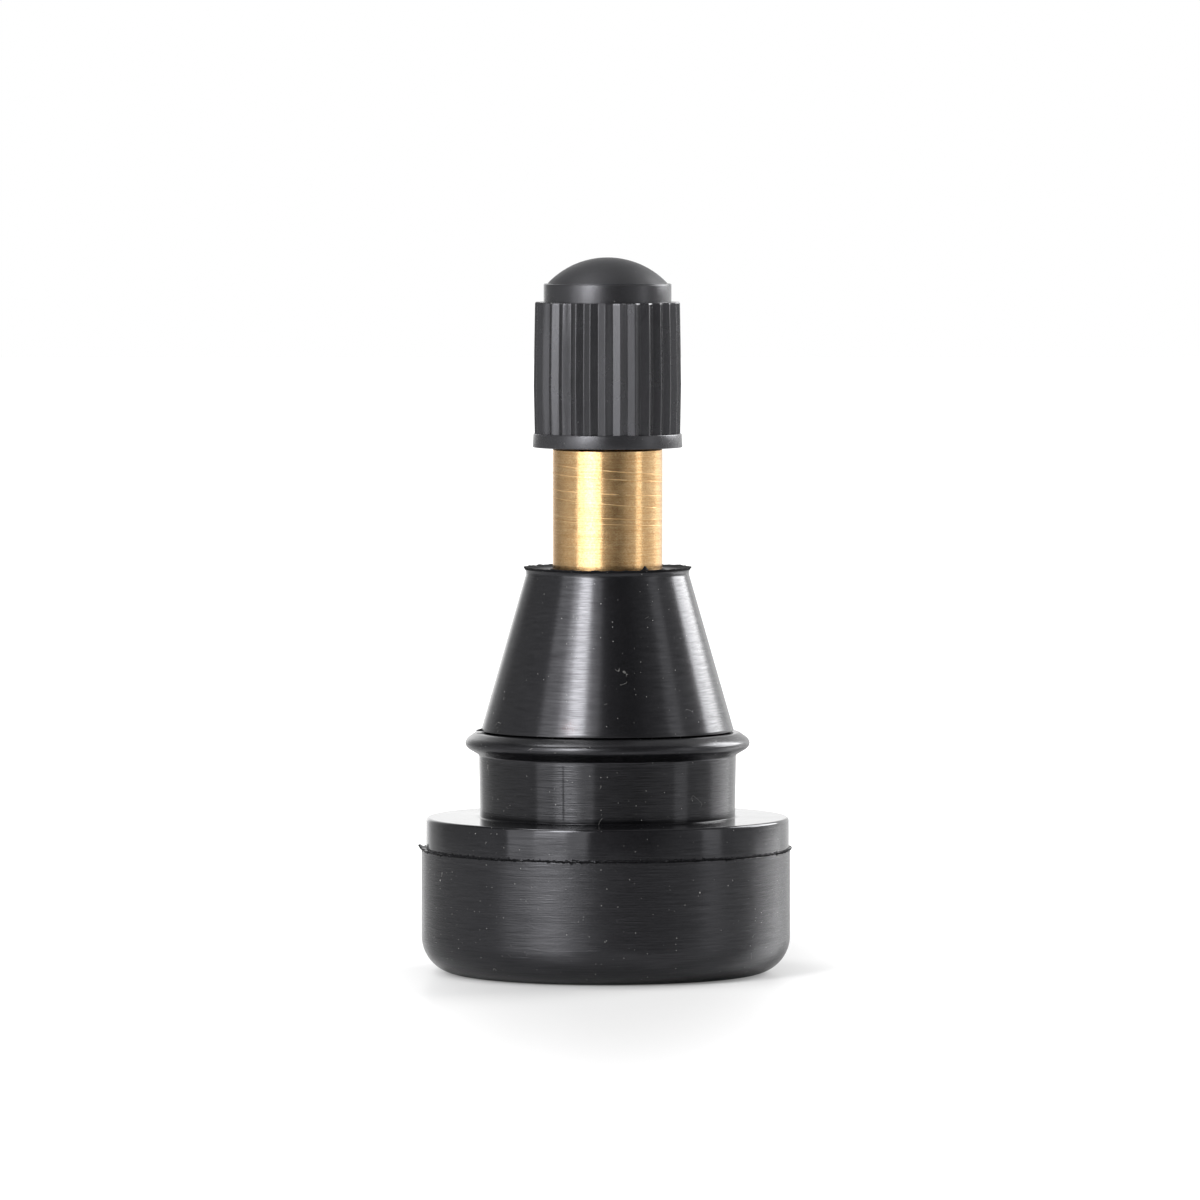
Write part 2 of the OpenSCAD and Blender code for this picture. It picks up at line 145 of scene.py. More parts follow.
def cut_thread(shape, root, crest, pitch, low, high, start=0, steps=72):
    """A right-handed thread ridge with flanks at 60 degrees, faded at both ends."""
    half_crest = 0.06 * pitch
    half_root = half_crest + abs(crest - root) * math.tan(math.radians(30))
    turns = round((high - low - 2 * half_root) / pitch * steps)
    ridge = bmesh.new()
    flanks = [(root, -half_root), (crest, -half_crest), (crest, half_crest), (root, half_root)]
    corners = [ridge.verts.new((r * math.cos(start), r * math.sin(start), low + half_root + h))
               for r, h in flanks]
    for i in range(4):
        ridge.edges.new((corners[i - 1], corners[i]))
    bmesh.ops.spin(ridge, geom=ridge.verts[:] + ridge.edges[:], cent=(0, 0, 0), axis=(0, 0, 1),
                   dvec=(0, 0, pitch / steps), angle=2 * math.pi * turns / steps, steps=turns)
    bmesh.ops.holes_fill(ridge, edges=[e for e in ridge.edges if e.is_boundary])
    fade_len, least = 0.5 * pitch, 0.05
    for v in ridge.verts:
        reach = v.co.xy.length
        fade = min(1, (v.co.z - low) / fade_len, (high - v.co.z) / fade_len)
        v.co.xy *= (root + (reach - root) * max(least, fade)) / reach
    joined(shape, ridge)


def made(shape, name, body, material, crease=30):
    """The finished piece: closed, in metres, smooth between its edges, in place of its CAD node."""
    bmesh.ops.remove_doubles(shape, verts=shape.verts[:], dist=1e-4)
    bmesh.ops.dissolve_degenerate(shape, edges=shape.edges[:], dist=1e-5)
    bmesh.ops.recalc_face_normals(shape, faces=shape.faces[:])
    bmesh.ops.scale(shape, vec=(mm, mm, mm), verts=shape.verts[:])
    mesh = bpy.data.meshes.new(name)
    shape.to_mesh(mesh)
    shape.free()
    mesh.shade_smooth()
    mesh.set_sharp_from_angle(angle=math.radians(crease))
    mesh.materials.append(material)
    piece = bpy.data.objects.new(name, mesh)
    bpy.context.scene.collection.objects.link(piece)
    # Shading follows the large faces, so that a narrow rounded edge doesn't bend the flanks beside it.
    even = piece.modifiers.new("even_shading", "WEIGHTED_NORMAL")
    even.keep_sharp = True
    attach(piece, body)
    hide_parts(name.removesuffix("_piece"))
    return piece


# Turned brass: a bright yellow metal. The tool leaves fine rings round it, and handling leaves
# a few long scratches that run round the stem and slope down to the right.
brass, tree, shader, place = finish_of("turned_brass")
xyz = add(tree, "ShaderNodeSeparateXYZ", in_0=place)
around = bearing(tree, xyz)
# The rings lie about 0.1 mm apart, and each runs a long way round.
stretched = add(tree, "ShaderNodeMapping", in_0=place, in_3=(0.3 / mm, 0.3 / mm, 9 / mm))[0]
rings = clouds(tree, stretched, 1.0, 3.0, 0.6)
fine = add(tree, "ShaderNodeMapping", in_0=place, in_3=(1.6 / mm, 1.6 / mm, 26 / mm))[0]
fine_rings = clouds(tree, fine, 1.0)
# Height at the front, fall for each radian and width of each scratch, in mm.
scratches = ((35.55, 0.3, 0.05), (34.98, 0.22, 0.04), (33.92, 0.18, 0.045), (33.2, 0.3, 0.025),
             (32.2, 0.12, 0.025), (31.8, 0.16, 0.02))
marks = 0.0
for level, slope, width in scratches:
    drop = calc(tree, "MULTIPLY_ADD", around, slope * mm, xyz["Z"])
    near = calc(tree, "ABSOLUTE", calc(tree, "SUBTRACT", drop, level * mm))
    line = graded(tree, near, 0.0, width * mm, 1.0, 0.0, "SMOOTHSTEP")
    marks = calc(tree, "MAXIMUM", line, marks)
unbroken = graded(tree, clouds(tree, place, 0.7 / mm), 0.3, 0.5)
scratch = calc(tree, "MULTIPLY", marks, unbroken)
speckle = clouds(tree, place, 8 / mm)
share = graded(tree, calc(tree, "ADD", rings, speckle), 0.75, 1.25)
tone = blended(tree, share, "#e0b077", "#f8d39e")
handled = clouds(tree, place, 1.1 / mm, 4.0, 0.6)
worn = graded(tree, handled, 0.3, 0.7, 0.15, 0.25)
rough = calc(tree, "MULTIPLY_ADD", scratch, 0.3, worn)
# The tool chattered a little: shallow waves about 1 mm long under the rings.
waves = clouds(tree, place, 1 / mm)
lines = calc(tree, "MULTIPLY_ADD", fine_rings, 0.25, rings)
wavy = calc(tree, "MULTIPLY_ADD", waves, 4.0, lines)
cut = calc(tree, "MULTIPLY_ADD", scratch, 1.6, wavy)
bump = add(tree, "ShaderNodeBump", in_0=0.9, in_1=0.0022 * mm, in_3=cut)[0]
coat(tree, shader, {"Base Color": tone, "Metallic": 1.0, "Roughness": rough, "Normal": bump})

stem_r, collar_r, root_r, taper_r, mouth_r, bore_r = 3.875, 5.4, 3.43, 2.45, 2.65, 2.05
foot_z, collar_low, collar_high, thread_z, mouth_z = 0.9, 2.5, 3.7, 37.37, 47.2
taper_low, taper_high, lead = 34.2, 37.2, 0.25
cap_pitch = 25.4 / 32
core_pitch = 25.4 / 36
stem = turned(
    [(bore_r + lead, foot_z), (stem_r, foot_z), (stem_r, collar_low), (collar_r, collar_low),
     (collar_r, collar_high), (stem_r, 5.225), (stem_r, 36.92), (root_r, thread_z), (root_r, mouth_z),
     (mouth_r + lead, mouth_z), (mouth_r, mouth_z - lead), (mouth_r, taper_high), (taper_r, taper_high),
     (bore_r, taper_low), (bore_r, foot_z + lead)],
    [(1, 0.08, 2), (3, 0.12, 3), (4, 0.12, 3), (6, 0.06, 2), (8, 0.05, 2), (9, 0.04, 2)], 192)
cut_thread(stem, root_r - 0.02, stem_r, cap_pitch, 37.2, 47.05)
cut_thread(stem, mouth_r + 0.02, 2.38, core_pitch, 38.95, 46.85)
made(stem, "stem_piece", "valve_body", brass)


# Rubber body
# One moulding of black rubber, bonded to the brass in a two-part mould: base, neck, bead and cone.
# The mould leaves a ragged fin at its parting line and a thin torn lip round the stem.
def mixed(tree, share, first, second):
    """A value between two others."""
    return add(tree, "ShaderNodeMix", {"data_type": "FLOAT"}, in_0=share, in_2=first, in_3=second)[0]


def dusty(tree, place, net, core, edge, clean, full=1.0):
    """Dust: a grain in each cell of a net in mm, sized by the cell, with a share of the cells left clean."""
    cells = add(tree, "ShaderNodeTexVoronoi", in_0=place, in_2=1 / (net * mm))
    grain = graded(tree, cells["Distance"], core, edge, full, 0.0)
    chance = add(tree, "ShaderNodeSeparateXYZ", in_0=cells["Color"])["X"]
    return calc(tree, "MULTIPLY", grain, graded(tree, chance, clean, 1.0))


def peak(angle, centre, width):
    """1 at one angle, and soon 0 beside it."""
    return math.exp(-(((angle - centre) / width) ** 2))


rubber, tree, shader, place = finish_of("moulded_black_rubber")
xyz = add(tree, "ShaderNodeSeparateXYZ", in_0=place)
height = xyz["Z"]
flat = add(tree, "ShaderNodeCombineXYZ", in_0=xyz["X"], in_1=xyz["Y"])[0]
reach = add(tree, "ShaderNodeVectorMath", {"operation": "LENGTH"}, in_0=flat)["Value"]
way = add(tree, "ShaderNodeVectorMath", {"operation": "NORMALIZE"}, in_0=flat)[0]
# Fine rings from the turned mould, 0.08 mm apart along the outline, each about 30 degrees long.
run = calc(tree, "ADD", reach, height)
step = calc(tree, "MULTIPLY", run, 1 / (0.08 * mm))
lift = add(tree, "ShaderNodeCombineXYZ", in_2=step)[0]
rings_at = add(tree, "ShaderNodeVectorMath", {"operation": "MULTIPLY_ADD"}, in_0=way, in_1=(5, 5, 5),
               in_2=lift)[0]
rings = clouds(tree, rings_at, 1.0, 2.0, 0.6)
# Short scratches on the base, drawn 0.1 mm wide so that they show, and a grain of 0.14 mm.
low = graded(tree, height, 8.7 * mm, 8.9 * mm, 1.0, 0.0)
scuffs_at = add(tree, "ShaderNodeVectorMath", {"operation": "MULTIPLY_ADD"}, in_0=way, in_1=(12, 12, 12),
                in_2=lift)[0]
scuff = graded(tree, clouds(tree, scuffs_at, 0.6), 0.6, 0.7)
fleck = clouds(tree, place, 7 / mm)
pitted = calc(tree, "MULTIPLY_ADD", fleck, 1.5, scuff)
base_scuff = calc(tree, "MULTIPLY", pitted, low)
# Dust: fine grains in a 0.4 mm net, and sharper ones here and there in a 1.3 mm net.
specks = calc(tree, "MAXIMUM", dusty(tree, place, 0.4, 0.03, 0.1, 0.5),
              dusty(tree, place, 1.3, 0.03, 0.06, 0.82))
# Curled lint, a hair's width, where a slow noise crosses a middle value.
curl = calc(tree, "SUBTRACT", clouds(tree, place, 0.47 / mm), 0.56)
hair = graded(tree, calc(tree, "ABSOLUTE", curl), 0.001, 0.005, 0.25, 0.0)
where = graded(tree, clouds(tree, place, 0.7 / mm, 1.0), 0.69, 0.72)
litter = calc(tree, "MAXIMUM", specks, calc(tree, "MULTIPLY", hair, where))
# The torn fin at the parting line and the torn lip at the top are matt and darker, partly as torn rubber and
# partly as painted shade under the fin and in the lip's trough.
tear = clouds(tree, place, 2.6 / mm, 3.0, 0.7)
torn_z = calc(tree, "MULTIPLY_ADD", tear, 0.6 * mm, height)
torn_off = calc(tree, "ABSOLUTE", calc(tree, "SUBTRACT", torn_z, 9.06 * mm))
fin_tear_and_shade = graded(tree, torn_off, 0.06 * mm, 0.1 * mm, 1.0, 0.0)
lip_tear_and_shade = graded(tree, height, 28.42 * mm, 28.5 * mm)
torn_and_shade = calc(tree, "MAXIMUM", fin_tear_and_shade, lip_tear_and_shade)
# A rubbed line up the front of the neck, 20 degrees to the left.
beside = calc(tree, "ABSOLUTE", calc(tree, "ADD", bearing(tree, xyz), math.radians(20)))
neck_low = graded(tree, height, 11 * mm, 11.2 * mm)
neck_high = graded(tree, height, 15.1 * mm, 15.2 * mm, 1.0, 0.0)
on_neck = calc(tree, "MULTIPLY", neck_low, neck_high)
rub = calc(tree, "MULTIPLY", graded(tree, beside, 0.003, 0.012, 0.7, 0.0), on_neck)
ticks = calc(tree, "MULTIPLY", graded(tree, beside, 0.06, 0.2, 1.0, 0.0), on_neck)
# At the neck's foot the rubber mirrors little light, so the crease there stays dark.
section = add(tree, "ShaderNodeCombineXYZ", in_0=reach, in_1=height)[0]
neck_foot = (9.05 * mm, 11.05 * mm, 0)
foot_off = add(tree, "ShaderNodeVectorMath", {"operation": "DISTANCE"}, in_0=section, in_1=neck_foot)["Value"]
foot = graded(tree, foot_off, 0.1 * mm, 0.35 * mm, 0.9, 0.0)
# The mould is polished at the neck, and the rubber there is a deeper black.
black = blended(tree, fleck, "#060607", "#1a1a1c")
deep = blended(tree, on_neck, black, "#050506")
# A faint rust-red smudge low on the front of the cone.
smudge_at = (-2.64 * mm, -8.3 * mm, 17.8 * mm)
smudge_off = add(tree, "ShaderNodeVectorMath", {"operation": "DISTANCE"}, in_0=place, in_1=smudge_at)["Value"]
smudge = graded(tree, smudge_off, 0.2 * mm, 0.8 * mm, 0.25, 0.0)
stained = blended(tree, calc(tree, "MULTIPLY", smudge, tear), deep, "#7a3a34")
dusted = blended(tree, litter, stained, "#b4b3af")
# Base and bead are satin, the cone is glossier, and the neck and the band over the parting line shine.
over = graded(tree, height, 15.3 * mm, 15.5 * mm)
high = graded(tree, height, 16.9 * mm, 17.1 * mm)
upper = calc(tree, "MULTIPLY_ADD", high, -0.45, over)
gloss = graded(tree, calc(tree, "MAXIMUM", low, upper), 0.0, 1.0, 0.07, 0.21)
haze = clouds(tree, place, 0.26 / mm, 4.0)
varied = calc(tree, "MULTIPLY_ADD", haze, 0.08, gloss)
dull = calc(tree, "MULTIPLY_ADD", litter, 0.5, varied)
matt = calc(tree, "MULTIPLY_ADD", torn_and_shade, 0.5, dull)
# It mirrors the room slightly cool, in streaks, and hardly at all where it is torn or rubbed and at the
# neck's foot; at the fin and the lip this is partly painted shade.
unlit = calc(tree, "MAXIMUM", calc(tree, "MAXIMUM", torn_and_shade, rub), foot)
shine = mixed(tree, unlit, graded(tree, rings, 0.25, 0.75, 0.33, 0.67), 0.1)
# The rings are fainter where the mould is polished and on the cone, and deep beside the rubbed line.
polished = calc(tree, "SUBTRACT", neck_high, low)
calm = calc(tree, "MULTIPLY_ADD", high, -0.68, 1.0)
firm = calc(tree, "MULTIPLY_ADD", polished, -0.5, calm)
ticked = calc(tree, "MULTIPLY_ADD", ticks, 2.2, firm)
ringed = calc(tree, "MULTIPLY", rings, ticked)
raised = calc(tree, "MULTIPLY_ADD", base_scuff, 0.6, ringed)
lumps = calc(tree, "MULTIPLY_ADD", torn_and_shade, tear, raised)
grain = calc(tree, "MULTIPLY_ADD", litter, 0.6, lumps)
bump = add(tree, "ShaderNodeBump", in_0=0.8, in_1=0.012 * mm, in_3=grain)[0]
coat(tree, shader, {"Base Color": dusted, "Roughness": matt, "IOR": 1.52, "Specular IOR Level": shine,
                    "Specular Tint": linear("#f8f8ff"), "Normal": bump})

hug_r, hug_collar_r, base_r, fin_r, band_r, neck_r = 3.89, 5.42, 13, 13.12, 12.8, 9
parting_z, rim_z, cone_z, lip_z = 8.82, 11, 17.12, 28.5
dish = [(hug_r, foot_z), (6.6, foot_z), (7.5, 0)]
base = [(base_r, 0), (base_r, 8.64), (12.95, 8.7)]
fin = [(fin_r, parting_z - 0.05), (fin_r, parting_z)]
band = [(band_r, parting_z), (band_r, rim_z)]
neck = [(neck_r, rim_z), (9.08, 15.42)]
bead = [(10.42, 16.2), (9.3, 17.0), (8.5, 17.02)]
cone = [(8.92, cone_z), (8.87, 17.3), (5.68, 28.4)]
lip = [(5.9, 28.57), (5.9, 28.64), (5.72, 28.62), (5.3, lip_z), (4.1, 28.46)]
bore = [(hug_r, 28.52), (hug_r, 5.24), (hug_collar_r, 3.71), (hug_collar_r, 2.49), (hug_r, 2.49)]
body = turned(
    dish + base + fin + band + neck + bead + cone + lip + bore,
    [(2, 0.2, 3), (3, 2.6, 14), (9, 0.22, 5), (10, 0.1, 3), (11, 0.1, 3), (12, 0.8, 12), (13, 0.1, 3),
     (15, 0.05, 2), (17, 0.3, 4)], 432)
mould_shift = -0.12
for v in body.verts:
    r, z = v.co.xy.length, v.co.z
    a = math.atan2(v.co.x, -v.co.y)
    spot = Vector((math.cos(a), math.sin(a), 0))
    # The fin stands out more in some places than in others, most at the left side.
    if r > fin_r - 0.07 and abs(z - parting_z) < 0.1:
        ragged = 0.5 + 0.9 * noise.noise(spot * 9) + 0.8 * noise.noise(spot * 43)
        tongue = peak(a, -1.56, 0.03)
        v.co.xy *= (12.98 + 0.14 * max(0, ragged) + 0.2 * tongue) / r
        v.co.z += 0.05 * noise.noise(spot * 57) + 0.28 * tongue
    # The lip was torn free of the mould.
    elif z > lip_z and r > 5.3:
        ragged = noise.noise(spot * 11) + 0.9 * noise.noise(spot * 37)
        v.co.xy *= (r + 0.05 * ragged) / r
        v.co.z += 0.05 * ragged
    # A scrap of rubber has crept up the brass on the right.
    elif z > lip_z - 0.05 and r < 4:
        v.co.z += 0.03 * noise.noise(spot * 25) + 0.3 * peak(a, 0.745, 0.06)
    # A whisker stands at the left of the cone's foot.
    elif abs(z - cone_z) < 0.1 and r > 8.7:
        v.co.xy *= 1 + 0.045 * peak(a, -1.5, 0.025)
    # The lower half of the mould sat a little to the left.
    if r > 6 and z < parting_z - 0.01:
        v.co.x += mould_shift
made(body, "rubber_body_piece", "valve_body", rubber, 40)


# Core plug
# The brass screw of the valve core, with a bridge between two flats for the core key.
# Its thread holds the core in the stem, and its sleeve is crimped round the barrel.
core_brass, tree, shader, place = finish_of("bright_core_brass")
# Small turned parts, tumbled bright: a clean metal with faint rings and a little haze.
close = add(tree, "ShaderNodeMapping", in_0=place, in_3=(0.8 / mm, 0.8 / mm, 12 / mm))[0]
rings = clouds(tree, close, 1.0)
haze = clouds(tree, place, 0.9 / mm, 3.0)
tone = blended(tree, haze, "#d8b06a", "#e9c686")
rough = graded(tree, haze, 0.3, 0.7, 0.2, 0.34)
bump = add(tree, "ShaderNodeBump", in_0=0.5, in_1=0.002 * mm, in_3=rings)[0]
coat(tree, shader, {"Base Color": tone, "Metallic": 1.0, "Roughness": rough, "Normal": bump})

plug_r, sleeve_r, crimp_r, nest_r, pass_r = 2.33, 2.15, 1.6, 1.8, 1.3
plug_low, plug_high, nest_low, nest_high = 38.9, 42.2, 37.6, 38.7
plug = turned(
    [(crimp_r, taper_high), (sleeve_r, taper_high), (sleeve_r, plug_low), (plug_r, plug_low),
     (plug_r, plug_high), (pass_r, plug_high), (pass_r, nest_high), (nest_r, nest_high), (nest_r, nest_low),
     (crimp_r, nest_low)],
    [(1, 0.12, 3), (3, 0.06, 2), (4, 0.06, 2)], 96)
cut_thread(plug, 2.3, 2.6, core_pitch, 38.92, 42.18, math.pi * 0.9)
# The bridge is turned, then its sides are milled off and a window is left for the air.
bridge_w, bridge_r, leg_d, leg_h, roof_low, roof_high = 2.2, 2.3, 1.3, 2.6, 43.8, 44.6
for side in (1, -1):
    leg = bmesh.new()
    bmesh.ops.create_cube(leg, size=1)
    bmesh.ops.scale(leg, vec=(bridge_w, leg_d, leg_h), verts=leg.verts[:])
    bmesh.ops.translate(leg, vec=(0, side * 1.6, 43.3), verts=leg.verts[:])
    outer = [e for e in leg.edges
             if abs(e.verts[0].co.z - e.verts[1].co.z) > 1 and abs(e.verts[0].co.y) > 2]
    bmesh.ops.bevel(leg, geom=outer, offset=0.35, segments=4, profile=0.5, affect="EDGES", material=-1)
    joined(plug, leg)
roof = turned([(0.65, roof_low), (bridge_r, roof_low), (bridge_r, roof_high), (0.65, roof_high)],
              [(2, 0.08, 2), (3, 0.08, 2)], 96)
for side in (1, -1):
    bmesh.ops.bisect_plane(roof, geom=roof.verts[:] + roof.edges[:] + roof.faces[:],
                           plane_co=(side * bridge_w / 2, 0, 0), plane_no=(side, 0, 0), clear_outer=True)
    bmesh.ops.holes_fill(roof, edges=[e for e in roof.edges if e.is_boundary])
joined(plug, roof)
made(plug, "core_plug_piece", "valve_body", core_brass)


# Core barrel
# A thin brass tube that swivels in the plug's sleeve. It carries the gasket between a shoulder
# and a rolled lip, and its nose is the seat of the valve.
tube_r, chamber_r, nose_r = 1.5, 1.25, 0.8
nose_z, chamber_z = 32.6, 34.2
gasket_low, gasket_high = 34.3, 36.6
barrel = turned(
    [(nose_r, nose_z), (1.15, nose_z), (tube_r, 32.95), (tube_r, 34), (1.75, 34), (1.75, gasket_low),
     (tube_r, gasket_low), (tube_r, gasket_high), (1.95, gasket_high), (1.95, 36.9), (tube_r, 36.9),
     (tube_r, 37.9), (1.7, 37.9), (1.7, nest_high), (chamber_r, nest_high), (chamber_r, chamber_z),
     (nose_r, chamber_z)],
    [(0, 0.06, 2), (1, 0.06, 2), (4, 0.1, 3), (5, 0.1, 3), (8, 0.08, 2), (9, 0.08, 2), (13, 0.06, 2)], 80)
made(barrel, "core_barrel_piece", "valve_body", core_brass)


# Barrel gasket
# A conical gasket of red plastic on the barrel, pushed into the stem's taper by the plug.
# It is moulded, with a soft sheen and a slightly mottled red.
red, tree, shader, place = finish_of("moulded_red_gasket")
mottle = clouds(tree, place, 1.5 / mm, 3.0)
tone = blended(tree, mottle, "#a8342a", "#c4473a")
coat(tree, shader, {"Base Color": tone, "Roughness": graded(tree, mottle, 0.0, 1.0, 0.38, 0.5)})
gasket = turned([(1.52, gasket_low), (2.035, gasket_low), (2.345, gasket_high), (1.52, gasket_high)],
                [(1, 0.1, 3), (2, 0.1, 3)], 80)
made(gasket, "barrel_gasket_piece", "valve_body", red)


# Core spring
# A coil of drawn steel wire in the barrel, with its end turns wound close.
# It pushes the pin up by its collar and shortens when the pin is pressed.
wire, tree, shader, place = finish_of("drawn_spring_steel")
# Drawn wire is bright, with a cold grey tone and slight streaks from the die.
streaks = clouds(tree, place, 4 / mm, 3.0)
tone = blended(tree, streaks, "#a9acb0", "#c6c8cb")
rough = graded(tree, streaks, 0.0, 1.0, 0.22, 0.36)
coat(tree, shader, {"Base Color": tone, "Metallic": 1.0, "Roughness": rough})

seat_z, collar_z = 34.22, 37.98
wire_r, coil_r, turn_steps = 0.15, 0.95, 40
close_turns, free_turns, close_pitch = 1, 4, 0.32
free_pitch = (collar_z - seat_z - 2 * wire_r - 2 * close_turns * close_pitch) / free_turns
spring = bmesh.new()
strand = bmesh.ops.create_circle(spring, segments=12, radius=wire_r)["verts"]
bmesh.ops.rotate(spring, verts=strand, cent=(0, 0, 0), matrix=Matrix.Rotation(math.radians(90), 3, "X"))
bmesh.ops.translate(spring, verts=strand, vec=(coil_r, 0, seat_z + wire_r))
coil = spring.verts[:] + spring.edges[:]
for turns, pitch in ((close_turns, close_pitch), (free_turns, free_pitch), (close_turns, close_pitch)):
    coil = bmesh.ops.spin(spring, geom=coil, cent=(0, 0, 0), axis=(0, 0, 1), dvec=(0, 0, pitch / turn_steps),
                          angle=2 * math.pi * turns, steps=turns * turn_steps)["geom_last"]
bmesh.ops.holes_fill(spring, edges=[e for e in spring.edges if e.is_boundary])
spring_piece = made(spring, "core_spring_piece", "valve_body", wire)
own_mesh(spring_piece)


# Core pin
# A brass pin down the middle of the core. An inflator presses its head, the spring pushes up
# on its collar, and the cup is riveted to its lower end.
pin_r, head_r, pin_collar_r = 0.5, 0.8, 1.1
rivet_low, rivet_high, head_low, head_high = 30.95, 31.35, 46.3, 46.9
pin = turned(
    [(0, rivet_low), (head_r, rivet_low), (head_r, rivet_high), (pin_r, rivet_high), (pin_r, 38),
     (pin_collar_r, 38), (pin_collar_r, 38.4), (pin_r, 38.4), (pin_r, head_low), (head_r, head_low),
     (head_r, head_high), (0, head_high)],
    [(1, 0.2, 4), (5, 0.05, 2), (6, 0.05, 2), (9, 0.06, 2), (10, 0.14, 4)], 64, ring=False)
made(pin, "core_pin_piece", "pin_set", core_brass)


# Cup seal
# A ring of black rubber in the cup, which the spring pulls up against the barrel's nose.
# It is matt and faintly speckled, as cut seal rubber is.
seal_rubber, tree, shader, place = finish_of("matt_seal_rubber")
speckle = clouds(tree, place, 2.5 / mm, 4.0)
tone = blended(tree, speckle, "#242220", "#3b3836")
rough = graded(tree, speckle, 0.0, 1.0, 0.6, 0.8)
bump = add(tree, "ShaderNodeBump", in_0=0.4, in_1=0.008 * mm, in_3=speckle)[0]
coat(tree, shader, {"Base Color": tone, "Roughness": rough, "Normal": bump})
ring_in, ring_out, ring_low = 0.52, 1.45, 31.8
cup_seal = turned([(ring_in, ring_low), (ring_out, ring_low), (ring_out, nose_z), (ring_in, nose_z)],
                  [(2, 0.08, 3), (3, 0.05, 2)], 64)
made(cup_seal, "cup_seal_piece", "pin_set", seal_rubber)


# Core cup
# A small brass cup on the pin's lower end that holds the seal ring.
# It is turned, and the pin is riveted over under its floor.
cup_r, cup_bore, cup_rim = 1.75, 1.47, 32.35
cup = turned(
    [(ring_in, rivet_high), (cup_r, rivet_high), (cup_r, cup_rim), (cup_bore, cup_rim), (cup_bore, ring_low),
     (ring_in, ring_low)],
    [(1, 0.12, 3), (2, 0.06, 2)], 64)
made(cup, "core_cup_piece", "pin_set", core_brass)


# Cap seal
# A disc of black rubber, pressed into the top of the cap, that closes the stem's mouth.
# It is punched from sheet, so its edges are square with only a slight draw.
disc_r, disc_top = 3.6, 48.1
disc = turned([(0, mouth_z), (disc_r, mouth_z), (disc_r, disc_top), (0, disc_top)],
              [(1, 0.06, 2), (2, 0.06, 2)], 96, ring=False)
made(disc, "cap_seal_piece", "seal_disc", seal_rubber)


# Cap
# The dust cap, one moulding of black plastic: flange, thirty V-shaped ribs, band and domed crown.
# It screws on the stem by the thread moulded inside it.
plastic, tree, shader, place = finish_of("moulded_black_plastic")
# Charcoal plastic with a little dust, satin below and matt on the crown, as they come from the mould.
tint = clouds(tree, place, 0.7 / mm, 4.0)
tone = blended(tree, tint, "#1f1f20", "#28282a")
dusted = blended(tree, dusty(tree, place, 0.5, 0.03, 0.08, 0.75, 0.7), tone, "#9c9b98")
height = add(tree, "ShaderNodeSeparateXYZ", in_0=place)["Z"]
crown = graded(tree, height, 48.6 * mm, 48.7 * mm)
satin = graded(tree, tint, 0.0, 1.0, 0.2, 0.32)
rough = calc(tree, "MULTIPLY_ADD", crown, 0.25, satin)
shine = graded(tree, crown, 0.0, 1.0, 0.5, 0.33)
# Mould grain about 0.06 mm across.
grain = clouds(tree, place, 1 / (0.06 * mm))
bump = add(tree, "ShaderNodeBump", in_0=0.7, in_1=0.009 * mm, in_3=grain)[0]
coat(tree, shader, {"Base Color": dusted, "Roughness": rough, "IOR": 1.62, "Specular IOR Level": shine,
                    "Specular Tint": linear("#f8f8ff"), "Normal": bump})

cap_band_r, crown_r, crown_z = 4.5, 4.2, 48.6
ball_r, ball_z, wall = 5.8, 44.64, 1.3
socket_r, pocket_r, pocket_z = 3.975, 3.65, 47.25
cap_foot, flange_z, cap_lead = 37.08, 38.05, 0.3
spread = math.asin(crown_r / ball_r)
hollow_r = ball_r - wall
hollow = math.acos((disc_top - ball_z) / hollow_r)


def arc(radius, angles):
    """Points of a round over the crown's centre, by their angles from the axis."""
    return [(radius * math.sin(a), ball_z + radius * math.cos(a)) for a in angles]


dome = arc(ball_r, [spread * i / 14 for i in range(15)])
vault = arc(hollow_r, [hollow * i / 8 for i in range(8, -1, -1)])
cap = turned(
    dome + [(crown_r, crown_z), (cap_band_r, crown_z), (cap_band_r, 47.2), (4.45, flange_z), (5.23, flange_z),
            (5.28, cap_foot), (socket_r + cap_lead, cap_foot), (socket_r, cap_foot + cap_lead),
            (socket_r, pocket_z), (pocket_r, pocket_z), (pocket_r, disc_top)] + vault,
    [(16, 0.09, 3), (19, 0.07, 3), (20, 0.06, 3), (21, 0.04, 2)], 180, ring=False)
cut_thread(cap, 4.0, 3.56, cap_pitch, 37.6, 47.0, math.pi)

# One rib from the middle of a flank to the middle of the next one but one, drawn up row by row.
rib_count, rib_tip, rib_valley, first_tip = 30, 5.225, 4.93, math.radians(-91.8)
rib_pitch = 2 * math.pi / rib_count
drawn_reach, reach, level = 5.2, 4.4, 38
# Each row's reach and height: out under the rib, up its swelling flank, and in over its top.
rows = ((5.12, 37.96), (5.14, 38.1), (5.2, 41.4), (5.16, 44.4), (5.11, 47.18), (5.095, 47.26), (5.05, 47.3),
        (4.3, 47.34))


def at(radius, turn):
    """A point of the rib's section."""
    return Vector((radius * math.cos(first_tip + turn), radius * math.sin(first_tip + turn), level))


